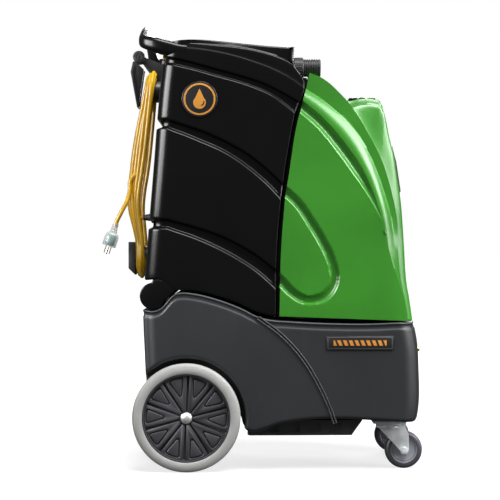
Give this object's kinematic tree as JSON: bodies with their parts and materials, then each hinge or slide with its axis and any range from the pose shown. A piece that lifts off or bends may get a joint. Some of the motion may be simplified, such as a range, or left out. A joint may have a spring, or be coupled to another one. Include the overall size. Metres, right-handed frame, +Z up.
{
  "type": "carpet cleaner machine",
  "caption": "Box-type hot-water carpet extractor: tip-back recovery tank and handle over a wheeled solution tank, with a moulded front cover.",
  "frame": {"origin": "on the floor under the middle of the machine's box, without its power cord", "axes": "+X forwards to the casters, +Y the machine's left, +Z up"},
  "size_m": [0.7726, 0.45, 1.074],
  "materials": {
    "badge_orange": "gloss",
    "base_plastic": "satin",
    "blade_brass": "plated",
    "box_plastic": "matt",
    "brass": "turned",
    "cap_metal": "polished",
    "cap_plastic": "satin",
    "caster_core_plastic": "satin",
    "caster_tread": "matt",
    "copper": "drawn",
    "cord_jacket": "satin vinyl",
    "cover_plastic": "satin gloss",
    "float_plastic": "satin",
    "frame_paint": "powder coat",
    "gauge_metal": "polished",
    "handle_plastic": "satin",
    "heater_metal": "satin",
    "hook_paint": "powder coat",
    "motor_paint": "satin",
    "panel_plastic": "fine texture",
    "pipe_plastic": "satin",
    "plate_orange": "gloss",
    "plug_clear": "clear vinyl",
    "rim_plastic": "satin",
    "skid_plastic": "matt",
    "steel": "turned",
    "tank_plastic": "satin gloss",
    "tyre_grey": "matt",
    "valve_plastic": "satin",
    "zinc": "zinc plated"
  },
  "bodies": {
    "chassis": {"base_tank": "base_plastic", "base_skid": "skid_plastic", "front_cover": "cover_plastic", "control_panel": "panel_plastic", "pressure_gauge": "gauge_metal", "switch_housings": "panel_plastic", "vent_panel": "panel_plastic", "nameplate": "plate_orange", "axle": "steel", "axle_brackets": "frame_paint", "axle_spacers": "steel", "axle_caps": "cap_metal", "hinge_brackets": "frame_paint", "hinge_pin": "steel", "caster_plates": "zinc", "vacuum_motors": "motor_paint", "exhaust_muffler": "motor_paint", "pump": "motor_paint", "heater": "heater_metal", "component_panel": "heater_metal", "wiring_box": "box_plastic", "solution_lines": "copper", "quick_connect": "brass"},
    "tank": {"recovery_tank": "tank_plastic", "lid_ring": "tank_plastic", "inlet_nut": "tank_plastic", "inlet_cuff": "tank_plastic", "standpipe": "pipe_plastic", "float_cage": "pipe_plastic", "drain_valve": "valve_plastic", "upper_hook": "hook_paint", "lower_hook": "hook_paint", "cord_gland": "panel_plastic", "badge": "badge_orange", "cord_hank": "cord_jacket", "cord_tail": "cord_jacket", "plug_body": "plug_clear", "plug_blades": "blade_brass"},
    "tank_lid": {"lid": "tank_plastic"},
    "float": {"float_ball": "float_plastic"},
    "drain_lever": {"drain_handle": "handle_plastic"},
    "cord_flap": {"hook_flap": "hook_paint"},
    "switch_1": {"rocker_1": "handle_plastic"},
    "switch_2": {"rocker_2": "handle_plastic"},
    "switch_3": {"rocker_3": "handle_plastic"},
    "knob": {"pressure_knob": "panel_plastic"},
    "filler_cap": {"fill_cap": "cap_plastic"},
    "collar": {"connect_collar": "brass"},
    "wheel_right": {"wheel_right_rim": "rim_plastic", "wheel_right_tyre": "tyre_grey"},
    "wheel_left": {"wheel_left_rim": "rim_plastic", "wheel_left_tyre": "tyre_grey"},
    "fork_right": {"caster_right_fork": "zinc", "caster_right_axle": "zinc"},
    "fork_left": {"caster_left_fork": "zinc", "caster_left_axle": "zinc"},
    "roller_right": {"caster_right_core": "caster_core_plastic", "caster_right_tyre": "caster_tread"},
    "roller_left": {"caster_left_core": "caster_core_plastic", "caster_left_tyre": "caster_tread"}
  },
  "joints": [
    {"name": "tank_tip", "type": "hinge", "parent": "chassis", "child": "tank", "pos_m": [-0.283, 0, 0.412], "axis": [0, -1, 0], "range_deg": [0, 78]},
    {"name": "lid_lift", "type": "slide", "parent": "tank", "child": "tank_lid", "axis": [0.068, 0, 0.9977], "range_m": [0, 0.12]},
    {"name": "float_rise", "type": "slide", "parent": "tank", "child": "float", "axis": [0, 0, 1], "range_m": [0, 0.035]},
    {"name": "drain_turn", "type": "hinge", "parent": "tank", "child": "drain_lever", "pos_m": [-0.328, 0.095, 0.532], "axis": [0, 0, 1], "range_deg": [0, 90]},
    {"name": "flap_swing", "type": "hinge", "parent": "tank", "child": "cord_flap", "pos_m": [-0.331, 0, 0.998], "axis": [0, 1, 0], "range_deg": [0, 95]},
    {"name": "rocker_1_tilt", "type": "hinge", "parent": "chassis", "child": "switch_1", "pos_m": [0.215, -0.026, 0.885], "axis": [0, 1, 0], "range_deg": [-9, 9]},
    {"name": "rocker_2_tilt", "type": "hinge", "parent": "chassis", "child": "switch_2", "pos_m": [0.215, 0, 0.885], "axis": [0, 1, 0], "range_deg": [-9, 9]},
    {"name": "rocker_3_tilt", "type": "hinge", "parent": "chassis", "child": "switch_3", "pos_m": [0.215, 0.026, 0.885], "axis": [0, 1, 0], "range_deg": [-9, 9]},
    {"name": "knob_turn", "type": "hinge", "parent": "chassis", "child": "knob", "pos_m": [0.215, 0.072, 0.887], "axis": [0, 0, 1], "range_deg": [-135, 135]},
    {"name": "cap_lift", "type": "slide", "parent": "chassis", "child": "filler_cap", "axis": [0, 0, 1], "range_m": [0, 0.04]},
    {"name": "collar_slide", "type": "slide", "parent": "chassis", "child": "collar", "axis": [-1, 0, 0], "range_m": [0, 0.004], "stiffness_N_per_m": 800},
    {"name": "wheel_right_spin", "type": "hinge", "parent": "chassis", "child": "wheel_right", "pos_m": [-0.205, -0.203, 0.127], "axis": [0, 1, 0], "continuous": true},
    {"name": "wheel_left_spin", "type": "hinge", "parent": "chassis", "child": "wheel_left", "pos_m": [-0.205, 0.203, 0.127], "axis": [0, 1, 0], "continuous": true},
    {"name": "caster_right_swivel", "type": "hinge", "parent": "chassis", "child": "fork_right", "pos_m": [0.275, -0.14, 0.103], "axis": [0, 0, 1], "continuous": true},
    {"name": "caster_right_roll", "type": "hinge", "parent": "fork_right", "child": "roller_right", "pos_m": [0.31, -0.14, 0.0445], "axis": [0, 1, 0], "continuous": true},
    {"name": "caster_left_swivel", "type": "hinge", "parent": "chassis", "child": "fork_left", "pos_m": [0.275, 0.14, 0.103], "axis": [0, 0, 1], "continuous": true},
    {"name": "caster_left_roll", "type": "hinge", "parent": "fork_left", "child": "roller_left", "pos_m": [0.31, 0.14, 0.0445], "axis": [0, 1, 0], "continuous": true}
  ]
}
